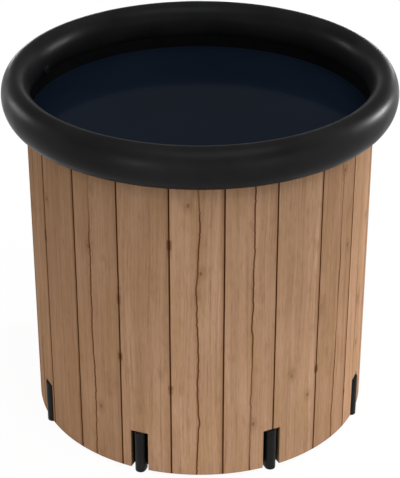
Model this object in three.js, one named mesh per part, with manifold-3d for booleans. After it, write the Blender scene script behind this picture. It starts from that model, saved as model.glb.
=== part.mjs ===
// Portable cold plunge tub: a soft round tub held up by rods in its wall and an inflated top ring.
// Units are millimetres, +Z is up, the tub stands on z = 0 and its front faces -Y.
// Angles go round the tub from the front (-Y) towards +X.
import * as THREE from 'three';
import { mergeVertices } from 'three/addons/utils/BufferGeometryUtils.js';
import Module from 'manifold-3d';

const wasm = await Module();
wasm.setup();

// Driving dimensions of the whole tub
const WALL_DIAMETER = 700;
const OVERALL_HEIGHT = 750;
const RING_WIDTH = 57;
const RING_HEIGHT = 85;
const RING_OFFSET = 18.5; // middle of the ring's section outside the wall's face
const RING_SKIN = 1.5;
const GAP = 0.3; // between sheets, panels and pieces that lie against each other
const ROUND_SEGMENTS = 64;
const OVAL_SEGMENTS = 24;
const AIR_SEGMENTS = 12;

// Wall sheets
const COVER_SHEET = 1;
const SKIRT_SHEET = 0.8;
const LINER_SHEET = 0.8;
const POCKET_SHEET = 0.8;
const HEM_HEIGHT = 6; // lower edge of the cover above the floor
const COLLAR_HEIGHT = 28; // thin collar between the foam and the ring
const SHOULDER_HEIGHT = 24; // the liner leans out over this height to reach the collar
const LINER_CORNER = 10;

// Floor
const BASE_SHEET = 1.2;
const FLOOR_FOAM = 15;

// Rods and notches
const ROD_COUNT = 8;
const ROD_DIAMETER = 22;
const ROD_WALL = 2;
const ROD_PLAY = 0.6; // round a rod in its pocket
const ROD_SEGMENTS = 16;
const FOOT_SET_OUT = 8.2; // the foot's round front stands further out than the rod above it
const TOP_CAP_HEIGHT = 4;
const SHANK_LENGTH = 16;
const SHANK_PLAY = 0.4; // round a foot's or a cap's shank in the rod
const CAP_CHAMFER = 1.2;
const NOTCH_SIDE = 7.5; // open space each side of a rod's foot in its notch
const NOTCH_HEIGHT = 90;

// Inflation valve on the inner side of the ring
const VALVE_ANGLE = -112.5;
const VALVE_TILT = -160; // round the ring's oval section, from its outer side upwards
const VALVE_SEGMENTS = 20;
const VALVE_WALL = 1.2;
const VALVE_DEPTH = 20;
const VALVE_LIP_OVER = 2.3;
const VALVE_LIP = 1.2;
const VALVE_LIP_LIFT = 0.7; // keeps the flat lip clear of the curved ring
const STEM_PLAY = 0.5;
const STEM_WALL = 2;
const STEM_DEPTH = 17;
const STEM_LIP_OVER = 2.5;
const STEM_LIP = 1;
const STOPPER_RADIUS = 3.6;
const STOPPER_PLAY = 1.4;
const STOPPER_DEPTH = 4;
const HEAD_OVER = 4.4;
const HEAD_HEIGHT = 2;
const STRAP_REACH = 3.5;
const STRAP_WIDTH = 5;
const STRAP_SHEET = 1;

// Drain at the back
const DRAIN_ANGLE = 180;
const DRAIN_CLEAR = 8; // flange above the liner's floor corner
const DRAIN_SEGMENTS = 24;
const DRAIN_BORE_RADIUS = 10;
const DRAIN_WALL = 5;
const DRAIN_PLAY = 0.6; // round the body in the wall, the gasket and the nut
const DRAIN_SPOUT = 30; // beyond the wall
const DRAIN_FLANGE_OVER = 9;
const DRAIN_FLANGE = 3.3;
const GASKET_OVER = 8;
const GASKET = 2;
const NUT_OVER = 6; // from the body to the nut's flats
const NUT_HEIGHT = 8;
const NUT_SIDES = 6;
const CAP_PLAY = 0.8;
const CAP_WALL = 4.2;
const CAP_END = 3;
const CAP_SKIRT = 18;
const CAP_RIBS = 12;
const CAP_RIB_DEPTH = 1.2;
const CAP_RIB_STEPS = 4; // corners of the outline for each rib and its groove
const SEAL_PLAY = 1.4;
const SEAL_SHEET = 1.6;
const BUNG_PLAY = 0.5;
const BUNG_TAPER = 0.5;
const BUNG_DEPTH = 15;
const BUNG_HEAD_OVER = 3.5;
const BUNG_HEAD = 4;
const BUNG_NECK_RADIUS = 4;
const BUNG_NECK = 5;
const BUNG_KNOB_OVER = 4;
const BUNG_KNOB = 5;

// Sizes that follow from the ones above
const COVER_R = WALL_DIAMETER / 2;
const COVER_IN_R = COVER_R - COVER_SHEET;
const RING_A = RING_WIDTH / 2;
const RING_B = RING_HEIGHT / 2;
const RING_R = COVER_R + RING_OFFSET;
const RING_Z = OVERALL_HEIGHT - RING_B;
const SKIRT_R = COVER_IN_R - GAP;
const SKIRT_IN_R = SKIRT_R - SKIRT_SHEET;
const COLLAR_R = SKIRT_IN_R - GAP;
const COLLAR_IN_R = COLLAR_R - LINER_SHEET;
const ROD_R = ROD_DIAMETER / 2;
const ROD_BORE_R = ROD_R - ROD_WALL;
const SHANK_R = ROD_BORE_R - SHANK_PLAY;
const POCKET_IN_R = ROD_R + ROD_PLAY;
const POCKET_R = POCKET_IN_R + POCKET_SHEET;
const ROD_CENTRE_R = COVER_IN_R - GAP - POCKET_R;
const LINER_R = ROD_CENTRE_R - POCKET_R - GAP;
const LINER_IN_R = LINER_R - LINER_SHEET;
const FOAM_R = COVER_IN_R - GAP;
const FOAM_IN_R = LINER_R + GAP;
const FLOOR_R = LINER_R;
const FLOOR_Z = BASE_SHEET + GAP;
const LINER_Z = FLOOR_Z + FLOOR_FOAM + GAP;
const SHOULDER_HIGH = ringUnderside(COVER_R) - COLLAR_HEIGHT;
const SHOULDER_LOW = SHOULDER_HIGH - SHOULDER_HEIGHT;
const FOAM_Z = HEM_HEIGHT + COVER_SHEET + GAP;
const NOTCH_WIDTH = ROD_DIAMETER + 2 * NOTCH_SIDE;
const NOTCH_TOP = HEM_HEIGHT + NOTCH_HEIGHT;
const POCKET_Z = NOTCH_TOP + COVER_SHEET + GAP;
const POCKET_TOP = SHOULDER_LOW - 2 * GAP;
const ROD_TOP = POCKET_TOP - POCKET_SHEET - GAP;
const FOOT_TOP = NOTCH_TOP - GAP;
const ROD_STEP = 360 / ROD_COUNT;
const DRAIN_R = DRAIN_BORE_RADIUS + DRAIN_WALL;
const DRAIN_FLANGE_R = DRAIN_R + DRAIN_FLANGE_OVER;
const DRAIN_Z = LINER_Z + LINER_CORNER + DRAIN_CLEAR + DRAIN_FLANGE_R;
const CUT_REACH = 50; // how far a cutting shape runs past what it cuts

// Height of the ring's underside over a circle of this radius
function ringUnderside(radius) {
  const across = (radius - RING_R) / RING_A;
  return RING_Z - RING_B * Math.sqrt(1 - across * across);
}

// Finishes, with colours read from the photo
function finish(color, roughness) {
  return () => new THREE.MeshStandardMaterial({ color, roughness, metalness: 0 });
}
const printedSheet = finish(0x8c6c52, 0.55);
const ringSheet = finish(0x1b1c1e, 0.38);
const linerSheet = finish(0x16181b, 0.5);
const blackPlastic = finish(0x202124, 0.45);
const blackRubber = finish(0x17181a, 0.75);
const greyFoam = finish(0x454547, 0.9);
const greySheet = finish(0x3a3b3d, 0.7);

// Joins shared corners, drops empty triangles and turns the faces outwards
function closed(geometry) {
  const bare = geometry.clone();
  bare.deleteAttribute('normal');
  bare.deleteAttribute('uv');
  const welded = mergeVertices(bare);
  const from = welded.index.array;
  const corner = (i) => new THREE.Vector3().fromBufferAttribute(welded.attributes.position, i);
  const kept = [];
  let volume = 0;
  for (let i = 0; i < from.length; i += 3) {
    const [a, b, c] = [from[i], from[i + 1], from[i + 2]];
    if (a === b || b === c || c === a) continue;
    kept.push(a, b, c);
    volume += corner(a).dot(corner(b).cross(corner(c)));
  }
  welded.setIndex(volume < 0 ? kept.reverse() : kept);
  return welded;
}

// Turns a profile of [radius, height] points round the Z axis
function revolve(profile, segments = ROUND_SEGMENTS) {
  const points = profile.map(([r, z]) => new THREE.Vector2(r, z));
  if (profile[0][0] > 0) points.push(points[0].clone());
  return closed(new THREE.LatheGeometry(points, segments).rotateX(Math.PI / 2));
}

// A round bar along Z, from one height to another
function bar(radius, low, high, segments) {
  const upright = new THREE.CylinderGeometry(radius, radius, high - low, segments);
  return upright.rotateX(Math.PI / 2).translate(0, 0, (low + high) / 2);
}

// A box at the front that reaches in and out along the radius
function radialBox(width, inner, outer, low, high) {
  const box = new THREE.BoxGeometry(width, outer - inner, high - low);
  return box.translate(0, -(inner + outer) / 2, (low + high) / 2);
}

function turned(geometry, degrees) {
  return geometry.clone().rotateZ(THREE.MathUtils.degToRad(degrees));
}

// Boolean cuts and joins
function toSolid(geometry) {
  const mesh = closed(geometry);
  return new wasm.Manifold(new wasm.Mesh({
    numProp: 3,
    vertProperties: new Float32Array(mesh.attributes.position.array),
    triVerts: new Uint32Array(mesh.index.array),
  }));
}

function toGeometry(solid) {
  const mesh = solid.getMesh();
  const geometry = new THREE.BufferGeometry();
  geometry.setAttribute('position', new THREE.Float32BufferAttribute(mesh.vertProperties, 3));
  geometry.setIndex(Array.from(mesh.triVerts));
  return geometry;
}

function cut(geometry, tools) {
  return toGeometry(tools.reduce((rest, tool) => rest.subtract(toSolid(tool)), toSolid(geometry)));
}

function join(geometry, others) {
  return toGeometry(others.reduce((sum, other) => sum.add(toSolid(other)), toSolid(geometry)));
}

function common(geometry, other) {
  return toGeometry(toSolid(geometry).intersect(toSolid(other)));
}

// The scene: groups that place the pieces, and named pieces in them
const tub = new THREE.Group();

function groupIn(parent) {
  const group = new THREE.Group();
  parent.add(group);
  return group;
}

function turnedGroup(degrees) {
  const group = groupIn(tub);
  group.rotation.z = THREE.MathUtils.degToRad(degrees);
  return group;
}

function piece(name, geometry, material, parent = tub) {
  const mesh = new THREE.Mesh(geometry, material());
  mesh.name = name;
  parent.add(mesh);
}

const rodAngles = Array.from({ length: ROD_COUNT }, (_, i) => (i + 0.5) * ROD_STEP);
const panelAngles = Array.from({ length: ROD_COUNT }, (_, i) => i * ROD_STEP);

// Drain hole through the wall, at the front until it is turned
const drainHole = bar(DRAIN_R + DRAIN_PLAY, LINER_R - CUT_REACH, COVER_R + CUT_REACH, DRAIN_SEGMENTS)
  .rotateX(Math.PI / 2)
  .translate(0, 0, DRAIN_Z);

// Outer wall cover: a printed cylinder turned in at the hem and lined where the notches go in
function wallCover() {
  const shell = revolve([
    [COVER_R, HEM_HEIGHT],
    [COVER_R, ringUnderside(COVER_R) - GAP],
    [COVER_IN_R, ringUnderside(COVER_IN_R) - GAP],
    [COVER_IN_R, HEM_HEIGHT + COVER_SHEET],
    [FOAM_IN_R, HEM_HEIGHT + COVER_SHEET],
    [FOAM_IN_R, HEM_HEIGHT],
  ]);
  const lining = radialBox(
    NOTCH_WIDTH + 2 * COVER_SHEET, FOAM_IN_R + GAP, COVER_IN_R + COVER_SHEET / 4,
    HEM_HEIGHT, NOTCH_TOP + COVER_SHEET,
  );
  const notch = radialBox(
    NOTCH_WIDTH, FOAM_IN_R - CUT_REACH, COVER_R + CUT_REACH, HEM_HEIGHT - CUT_REACH, NOTCH_TOP,
  );
  const rodHole = bar(POCKET_IN_R, HEM_HEIGHT, POCKET_Z, ROD_SEGMENTS)
    .translate(0, -ROD_CENTRE_R, 0);
  const lined = join(shell, rodAngles.map((angle) => turned(lining, angle)));
  const notched = cut(lined, rodAngles.map((angle) => turned(notch, angle)));
  const holes = rodAngles.map((angle) => turned(rodHole, angle));
  return cut(notched, [...holes, turned(drainHole, DRAIN_ANGLE)]);
}
piece('outer_wall_cover', wallCover(), printedSheet);

// Inner liner: floor, wall, a shoulder over the rods and a collar up to the ring
function innerLiner() {
  const floor = LINER_Z + LINER_SHEET;
  const bag = revolve([
    [0, LINER_Z],
    [LINER_R - LINER_CORNER, LINER_Z],
    [LINER_R, LINER_Z + LINER_CORNER],
    [LINER_R, SHOULDER_LOW],
    [COLLAR_R, SHOULDER_HIGH],
    [COLLAR_R, ringUnderside(COLLAR_R) - GAP],
    [COLLAR_IN_R, ringUnderside(COLLAR_IN_R) - GAP],
    [COLLAR_IN_R, SHOULDER_HIGH],
    [LINER_IN_R, SHOULDER_LOW],
    [LINER_IN_R, floor + LINER_CORNER - LINER_SHEET / 2],
    [LINER_R - LINER_CORNER - LINER_SHEET / 2, floor],
    [0, floor],
  ]);
  return cut(bag, [turned(drainHole, DRAIN_ANGLE)]);
}
piece('inner_liner', innerLiner(), linerSheet);

// Ring skirt: the band under the ring that the cover and the liner are joined to
piece('ring_skirt', revolve([
  [SKIRT_R, SHOULDER_HIGH + GAP],
  [SKIRT_R, ringUnderside(SKIRT_R) - GAP],
  [SKIRT_IN_R, ringUnderside(SKIRT_IN_R) - GAP],
  [SKIRT_IN_R, SHOULDER_HIGH + GAP],
]), ringSheet);

// Floor: a base sheet on the ground and a foam disc over it
piece('base_sheet', bar(FLOOR_R, 0, BASE_SHEET, ROUND_SEGMENTS), greySheet);
piece('floor_foam', bar(FLOOR_R, FLOOR_Z, FLOOR_Z + FLOOR_FOAM, ROUND_SEGMENTS), greyFoam);

// Foam panels: one between each two rods, cut from a ring of foam by straight sides beside the pockets
function foamPanel() {
  const ring = revolve([
    [FOAM_IN_R, FOAM_Z],
    [FOAM_R, FOAM_Z],
    [FOAM_R, SHOULDER_HIGH],
    [COLLAR_R + GAP, SHOULDER_HIGH],
    [FOAM_IN_R, SHOULDER_LOW],
  ]);
  const half = THREE.MathUtils.degToRad(ROD_STEP / 2);
  const side = POCKET_R + GAP;
  const corner = (sign, reach) => new THREE.Vector2(
    sign * (Math.sin(half) * reach - Math.cos(half) * side),
    -Math.cos(half) * reach - Math.sin(half) * side,
  );
  const inner = FOAM_IN_R - CUT_REACH;
  const outer = FOAM_R + CUT_REACH;
  const wedge = new THREE.Shape([corner(-1, inner), corner(1, inner), corner(1, outer), corner(-1, outer)]);
  const prism = new THREE.ExtrudeGeometry(wedge, { depth: OVERALL_HEIGHT, bevelEnabled: false });
  const lining = radialBox(
    NOTCH_WIDTH + 2 * (COVER_SHEET + GAP), inner, outer, -CUT_REACH, NOTCH_TOP + COVER_SHEET + GAP,
  );
  return cut(common(ring, prism), [turned(lining, -ROD_STEP / 2), turned(lining, ROD_STEP / 2)]);
}
const plainPanel = foamPanel();
const drainPanel = cut(plainPanel, [drainHole]);
panelAngles.forEach((angle, i) => {
  const panel = angle === DRAIN_ANGLE ? drainPanel : plainPanel;
  piece(`foam_panel_${i + 1}`, panel, greyFoam, turnedGroup(angle));
});

// Rods with their feet and top caps, and the closed sleeves they stand in
const rodTop = ROD_TOP - TOP_CAP_HEIGHT;
const rodTube = revolve([
  [ROD_BORE_R, FOOT_TOP + GAP],
  [ROD_R, FOOT_TOP + GAP],
  [ROD_R, rodTop - GAP],
  [ROD_BORE_R, rodTop - GAP],
], ROD_SEGMENTS);

// Foot: an oval block as tall as the notch, from under the rod out to the wall's face
function rodFoot() {
  const outline = new THREE.Shape()
    .absarc(0, 0, ROD_R, 0, Math.PI)
    .absarc(0, -FOOT_SET_OUT, ROD_R, Math.PI, 2 * Math.PI);
  const block = new THREE.ExtrudeGeometry(outline, {
    depth: FOOT_TOP, bevelEnabled: false, curveSegments: ROD_SEGMENTS / 2,
  });
  const shank = bar(SHANK_R, FOOT_TOP - SHANK_LENGTH, FOOT_TOP + SHANK_LENGTH, ROD_SEGMENTS);
  return join(block, [shank]);
}
const foot = rodFoot();
const topCap = revolve([
  [0, rodTop - SHANK_LENGTH],
  [SHANK_R, rodTop - SHANK_LENGTH],
  [SHANK_R, rodTop],
  [ROD_R, rodTop],
  [ROD_R, ROD_TOP - CAP_CHAMFER],
  [ROD_R - CAP_CHAMFER, ROD_TOP],
  [0, ROD_TOP],
], ROD_SEGMENTS);
const pocket = revolve([
  [0, POCKET_TOP - POCKET_SHEET],
  [POCKET_IN_R, POCKET_TOP - POCKET_SHEET],
  [POCKET_IN_R, POCKET_Z],
  [POCKET_R, POCKET_Z],
  [POCKET_R, POCKET_TOP],
  [0, POCKET_TOP],
], ROD_SEGMENTS);
rodAngles.forEach((angle, i) => {
  const stand = groupIn(turnedGroup(angle));
  stand.position.y = -ROD_CENTRE_R;
  piece(`support_rod_${i + 1}`, rodTube, blackPlastic, stand);
  piece(`rod_foot_${i + 1}`, foot, blackPlastic, stand);
  piece(`rod_top_cap_${i + 1}`, topCap, blackPlastic, stand);
  piece(`rod_pocket_${i + 1}`, pocket, greySheet, stand);
});

// The valve's group: its Z axis points out of the ring's inner side, its X axis along the ring
const tilt = THREE.MathUtils.degToRad(VALVE_TILT);
const upward = new THREE.Vector3(0, 0, 1);
const outward = new THREE.Vector3(0, -1, 0)
  .applyAxisAngle(upward, THREE.MathUtils.degToRad(VALVE_ANGLE));
const alongRing = new THREE.Vector3().crossVectors(upward, outward);
const valveAxis = outward.clone().multiplyScalar(Math.cos(tilt) / RING_A)
  .addScaledVector(upward, Math.sin(tilt) / RING_B)
  .normalize();
const acrossRing = new THREE.Vector3().crossVectors(valveAxis, alongRing);
const valve = groupIn(tub);
valve.position.copy(outward).multiplyScalar(RING_R + RING_A * Math.cos(tilt));
valve.position.z = RING_Z + RING_B * Math.sin(tilt);
valve.quaternion.setFromRotationMatrix(
  new THREE.Matrix4().makeBasis(alongRing, acrossRing, valveAxis),
);
valve.updateMatrix();

// Top ring: an inflated oval tube, open only where the valve base goes through its skin
function oval(inset, count) {
  return Array.from({ length: count }, (_, i) => {
    const t = (i / count) * 2 * Math.PI;
    return [RING_R + (RING_A - inset) * Math.cos(t), RING_Z + (RING_B - inset) * Math.sin(t)];
  });
}
const STEM_BORE_R = STOPPER_RADIUS + STOPPER_PLAY;
const STEM_R = STEM_BORE_R + STEM_WALL;
const VALVE_BORE_R = STEM_R + STEM_PLAY;
const VALVE_R = VALVE_BORE_R + VALVE_WALL;
const valveHole = bar(VALVE_R + GAP, -VALVE_DEPTH / 2, VALVE_DEPTH / 2, VALVE_SEGMENTS)
  .applyMatrix4(valve.matrix);
const ringSkin = revolve(oval(0, OVAL_SEGMENTS));
piece('top_ring', cut(ringSkin, [revolve(oval(RING_SKIN, AIR_SEGMENTS)), valveHole]), ringSheet);

// Inflation valve: a base in the ring, a stem that pushes in flush and a plug on a strap
const lipTop = VALVE_LIP_LIFT + VALVE_LIP;
const stemLipLow = lipTop + GAP;
const stemLipTop = stemLipLow + STEM_LIP;
const headLow = stemLipTop + GAP;
const HEAD_R = STOPPER_RADIUS + HEAD_OVER;
piece('valve_base', revolve([
  [VALVE_BORE_R, -VALVE_DEPTH],
  [VALVE_R, -VALVE_DEPTH],
  [VALVE_R, VALVE_LIP_LIFT],
  [VALVE_R + VALVE_LIP_OVER, VALVE_LIP_LIFT],
  [VALVE_R + VALVE_LIP_OVER, lipTop],
  [VALVE_BORE_R, lipTop],
], VALVE_SEGMENTS), blackPlastic, valve);
piece('valve_stem', revolve([
  [STEM_BORE_R, -STEM_DEPTH],
  [STEM_R, -STEM_DEPTH],
  [STEM_R, stemLipLow],
  [STEM_R + STEM_LIP_OVER, stemLipLow],
  [STEM_R + STEM_LIP_OVER, stemLipTop],
  [STEM_BORE_R, stemLipTop],
], VALVE_SEGMENTS), blackPlastic, valve);
const plugHead = revolve([
  [0, stemLipTop - STOPPER_DEPTH],
  [STOPPER_RADIUS, stemLipTop - STOPPER_DEPTH],
  [STOPPER_RADIUS, headLow],
  [HEAD_R, headLow],
  [HEAD_R, headLow + HEAD_HEIGHT],
  [0, headLow + HEAD_HEIGHT],
], VALVE_SEGMENTS);
const strap = new THREE.BoxGeometry(HEAD_R + STRAP_REACH, STRAP_WIDTH, STRAP_SHEET)
  .translate((HEAD_R + STRAP_REACH) / 2, 0, headLow + HEAD_HEIGHT / 2);
piece('valve_plug', join(plugHead, [strap]), blackRubber, valve);

// The drain's group: its Z axis points out of the tub, with heights counted from the tub's middle
const drain = groupIn(turnedGroup(DRAIN_ANGLE));
drain.rotation.x = Math.PI / 2;
drain.position.z = DRAIN_Z;

// Drain body: it goes through liner, foam and cover, and a nut outside pulls its flange in
const GASKET_R = DRAIN_R + GASKET_OVER;
const gasketOut = Math.sqrt(LINER_IN_R ** 2 - GASKET_R ** 2) - 2 * GAP;
const gasketIn = gasketOut - GASKET;
const flangeOut = gasketIn - GAP;
const flangeIn = flangeOut - DRAIN_FLANGE;
const spoutEnd = COVER_R + DRAIN_SPOUT;
piece('drain_body', revolve([
  [DRAIN_BORE_RADIUS, flangeIn],
  [DRAIN_FLANGE_R, flangeIn],
  [DRAIN_FLANGE_R, flangeOut],
  [DRAIN_R, flangeOut],
  [DRAIN_R, spoutEnd],
  [DRAIN_BORE_RADIUS, spoutEnd],
], DRAIN_SEGMENTS), blackPlastic, drain);
piece('drain_gasket', revolve([
  [DRAIN_R + DRAIN_PLAY, gasketIn],
  [GASKET_R, gasketIn],
  [GASKET_R, gasketOut],
  [DRAIN_R + DRAIN_PLAY, gasketOut],
], DRAIN_SEGMENTS), blackRubber, drain);
const nutLow = COVER_R + GAP;
const nutCorner = (DRAIN_R + NUT_OVER) / Math.cos(Math.PI / NUT_SIDES);
const nutBlock = bar(nutCorner, nutLow, nutLow + NUT_HEIGHT, NUT_SIDES);
const nutBore = bar(DRAIN_R + DRAIN_PLAY, COVER_R, COVER_R + CUT_REACH, DRAIN_SEGMENTS);
piece('drain_nut', cut(nutBlock, [nutBore]), blackPlastic, drain);

// Screw cap with grip ribs, and the seal it carries
const CAP_BORE_R = DRAIN_R + CAP_PLAY;
const sealLow = spoutEnd + GAP;
const capInner = sealLow + SEAL_SHEET + GAP;
function screwCap() {
  const steps = CAP_RIBS * CAP_RIB_STEPS;
  const outline = Array.from({ length: steps }, (_, i) => {
    const onRib = i % CAP_RIB_STEPS < CAP_RIB_STEPS / 2;
    const r = CAP_BORE_R + CAP_WALL - (onRib ? 0 : CAP_RIB_DEPTH);
    const a = (i / steps) * 2 * Math.PI;
    return new THREE.Vector2(r * Math.cos(a), r * Math.sin(a));
  });
  const depth = CAP_SKIRT + CAP_END;
  const block = new THREE.ExtrudeGeometry(new THREE.Shape(outline), { depth, bevelEnabled: false });
  const bore = bar(CAP_BORE_R, capInner - CAP_SKIRT - CUT_REACH, capInner, DRAIN_SEGMENTS);
  return cut(block.translate(0, 0, capInner - CAP_SKIRT), [bore]);
}
piece('drain_cap', screwCap(), blackPlastic, drain);
const seal = bar(CAP_BORE_R - SEAL_PLAY, sealLow, sealLow + SEAL_SHEET, DRAIN_SEGMENTS);
piece('drain_cap_seal', seal, blackRubber, drain);

// Stopper that is pulled out from inside the tub
const bungR = DRAIN_BORE_RADIUS - BUNG_PLAY;
const bungHeadOut = flangeIn - GAP;
const bungHeadIn = bungHeadOut - BUNG_HEAD;
const knobOut = bungHeadIn - BUNG_NECK;
const knobIn = knobOut - BUNG_KNOB;
piece('drain_stopper', revolve([
  [0, knobIn],
  [BUNG_NECK_RADIUS + BUNG_KNOB_OVER, knobIn],
  [BUNG_NECK_RADIUS + BUNG_KNOB_OVER, knobOut],
  [BUNG_NECK_RADIUS, knobOut],
  [BUNG_NECK_RADIUS, bungHeadIn],
  [bungR + BUNG_HEAD_OVER, bungHeadIn],
  [bungR + BUNG_HEAD_OVER, bungHeadOut],
  [bungR, bungHeadOut],
  [bungR - BUNG_TAPER, bungHeadOut + BUNG_DEPTH],
  [0, bungHeadOut + BUNG_DEPTH],
], DRAIN_SEGMENTS), blackRubber, drain);

export default tub;
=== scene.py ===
# %% [markdown]
# # A portable cold plunge tub
# The tub is a soft bag held up by eight rods in its wall and an inflated ring on top. Its outer
# sheet carries a printed picture of upright planks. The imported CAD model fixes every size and
# place, so this lesson only dresses it: smooth skins, printed and moulded finishes, light, camera.

# %% Load the frame
import math

import bmesh
import bpy
from mathutils import Matrix, Vector


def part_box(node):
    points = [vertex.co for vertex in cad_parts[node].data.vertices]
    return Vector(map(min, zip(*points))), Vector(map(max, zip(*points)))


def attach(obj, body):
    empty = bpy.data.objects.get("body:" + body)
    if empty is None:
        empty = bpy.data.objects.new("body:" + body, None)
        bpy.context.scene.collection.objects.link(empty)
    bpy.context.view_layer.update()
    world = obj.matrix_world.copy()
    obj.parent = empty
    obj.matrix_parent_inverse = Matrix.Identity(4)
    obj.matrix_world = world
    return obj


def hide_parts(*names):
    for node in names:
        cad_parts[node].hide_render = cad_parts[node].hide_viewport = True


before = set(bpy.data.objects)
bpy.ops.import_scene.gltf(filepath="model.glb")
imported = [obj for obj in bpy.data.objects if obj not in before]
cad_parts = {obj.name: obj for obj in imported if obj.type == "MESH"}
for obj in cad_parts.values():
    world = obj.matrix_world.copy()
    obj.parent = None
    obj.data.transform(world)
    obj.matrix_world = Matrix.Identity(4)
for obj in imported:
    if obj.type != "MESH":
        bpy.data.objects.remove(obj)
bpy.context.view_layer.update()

# %% [markdown]
# ## Sizes
# The frame gives the outer corners of each CAD node. Round pieces share the tub's upright axis, so
# a corner gives a radius. The few sizes that no corner shows are written down, in metres.

# %% Sizes of the tub
WALL_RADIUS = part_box("outer_wall_cover")[1].x
HEM_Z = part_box("outer_wall_cover")[0].z
WALL_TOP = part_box("outer_wall_cover")[1].z
LINER_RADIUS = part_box("base_sheet")[1].x
RING_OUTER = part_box("top_ring")[1].x
RING_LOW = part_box("top_ring")[0].z
RING_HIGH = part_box("top_ring")[1].z
RING_HALF_WIDTH = 0.057 / 2
RING_HALF_HEIGHT = (RING_HIGH - RING_LOW) / 2
RING_RADIUS = RING_OUTER - RING_HALF_WIDTH
RING_Z = (RING_LOW + RING_HIGH) / 2
ROD_COUNT = 8
ROD_STEP = 2 * math.pi / ROD_COUNT
ROD_LOW, ROD_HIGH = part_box("support_rod_1")
ROD_RADIUS = (ROD_HIGH.x - ROD_LOW.x) / 2
ROD_CIRCLE = ((ROD_LOW + ROD_HIGH) / 2).xy.length
print("wall radius", round(WALL_RADIUS, 4), "ring radius", round(RING_RADIUS, 4), "hem", HEM_Z)


# %% [markdown]
# ## Small helpers for meshes
# Most pieces here are turned shapes: an outline of radius and height, spun round an axis. Moulded
# and welded pieces have no sharp corners, so the outline's corners are rounded before it is spun.
# The mesh is made ring by ring, which leaves no seam, and a point on the axis closes a pole.

# %% Rounded outlines
EDGE_SHARE = 0.45    # the most of an edge that an arc may take


def rounded(outline, radius, steps=4, loop=True):
    """The outline with each corner replaced by an arc, no larger than its edges allow."""
    points = []
    count = len(outline)
    for i, corner in enumerate(outline):
        here = Vector(corner)
        if not loop and i in (0, count - 1):
            points.append(here)
            continue
        before = Vector(outline[i - 1]) - here
        after = Vector(outline[(i + 1) % count]) - here
        half = before.angle(after) / 2
        reach = min(radius / math.tan(half), before.length * EDGE_SHARE, after.length * EDGE_SHARE)
        start = here + before.normalized() * reach
        end = here + after.normalized() * reach
        for k in range(steps + 1):
            t = k / steps
            points.append(start * (1 - t) ** 2 + here * 2 * t * (1 - t) + end * t ** 2)
    return [(p.x, p.y) for p in points]


SQUARE = [(1, 0), (2, 0), (2, 1), (1, 1)]
print("a square's outline becomes", len(rounded(SQUARE, 0.1)), "points")


# %% Turned shapes
def turned(outline, steps, loop=True, place=Matrix.Identity(4)):
    """A bmesh spun round Z from (radius, height) points, then placed."""
    bm = bmesh.new()
    rings = []
    for radius, height in outline:
        if radius < 1e-7:
            rings.append([bm.verts.new((0, 0, height))])
            continue
        ring = []
        for k in range(steps):
            a = 2 * math.pi * k / steps
            ring.append(bm.verts.new((radius * math.cos(a), radius * math.sin(a), height)))
        rings.append(ring)
    pairs = list(zip(rings, rings[1:] + rings[:1])) if loop else list(zip(rings, rings[1:]))
    for low, high in pairs:
        for k in range(steps):
            n = (k + 1) % steps
            corners = [low[k % len(low)], low[n % len(low)], high[n % len(high)], high[k % len(high)]]
            corners = list(dict.fromkeys(corners))
            if len(corners) > 2:
                bm.faces.new(corners)
    bmesh.ops.recalc_face_normals(bm, faces=bm.faces)
    bmesh.ops.transform(bm, matrix=place, verts=bm.verts)
    return bm


sample = turned(SQUARE, 8)
print("the square spun in 8 steps has", len(sample.faces), "faces")
sample.free()

# %% Pieces
SHARP_ANGLE = math.radians(35)


def piece(name, bm, material):
    """A smooth-shaded object from a bmesh, with its steep edges kept crisp."""
    mesh = bpy.data.meshes.new(name)
    bm.to_mesh(mesh)
    bm.free()
    mesh.materials.append(material)
    mesh.shade_smooth()
    mesh.set_sharp_from_angle(angle=SHARP_ANGLE)
    made = bpy.data.objects.new(name, mesh)
    bpy.context.collection.objects.link(made)
    return made


def turned_piece(name, outline, material, edge, arc=4, steps=48, place=Matrix.Identity(4)):
    """A piece spun from an outline with rounded corners. It is a ring unless it starts on the axis."""
    loop = outline[0][0] > 0
    return piece(name, turned(rounded(outline, edge, arc, loop), steps, loop, place), material)


def settle(made):
    """Turns an object's modifiers into plain mesh."""
    shown = made.evaluated_get(bpy.context.evaluated_depsgraph_get())
    mesh = bpy.data.meshes.new_from_object(shown)
    made.modifiers.clear()
    made.data = mesh
    return made


def dress(made, body, slot, *nodes):
    """Lets a finished piece ride on its body in place of its CAD nodes. The slot is not used."""
    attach(made, body)
    if nodes:
        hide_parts(*nodes)
    print(made.name, "on", body, "with", len(made.data.polygons), "faces")
    return made


print("edges stay crisp over", round(math.degrees(SHARP_ANGLE)), "degrees")


# %% [markdown]
# ## Small helpers for materials
# A material is a tree of small calculations. These helpers add one node and wire its inputs, so
# that a finish reads as a list of what the eye sees. Colours are written as 0 to 255 sRGB values.

# %% Node helpers
def colour(red, green, blue):
    def linear(value):
        share = value / 255
        return share / 12.92 if share <= 0.04045 else ((share + 0.055) / 1.055) ** 2.4
    return (linear(red), linear(green), linear(blue), 1)


def add(tree, kind, inputs=None, **settings):
    node = tree.nodes.new(kind)
    for key, value in settings.items():
        setattr(node, key, value)
    for key, value in (inputs or {}).items():
        if isinstance(value, bpy.types.NodeSocket):
            tree.links.new(value, node.inputs[key])
        else:
            node.inputs[key].default_value = value
    return node


def calc(tree, operation, a, b=0.0):
    return add(tree, "ShaderNodeMath", {0: a, 1: b}, operation=operation).outputs[0]


def plus(tree, a, b):
    return calc(tree, "ADD", a, b)


def minus(tree, a, b):
    return calc(tree, "SUBTRACT", a, b)


def times(tree, a, b):
    return calc(tree, "MULTIPLY", a, b)


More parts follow.
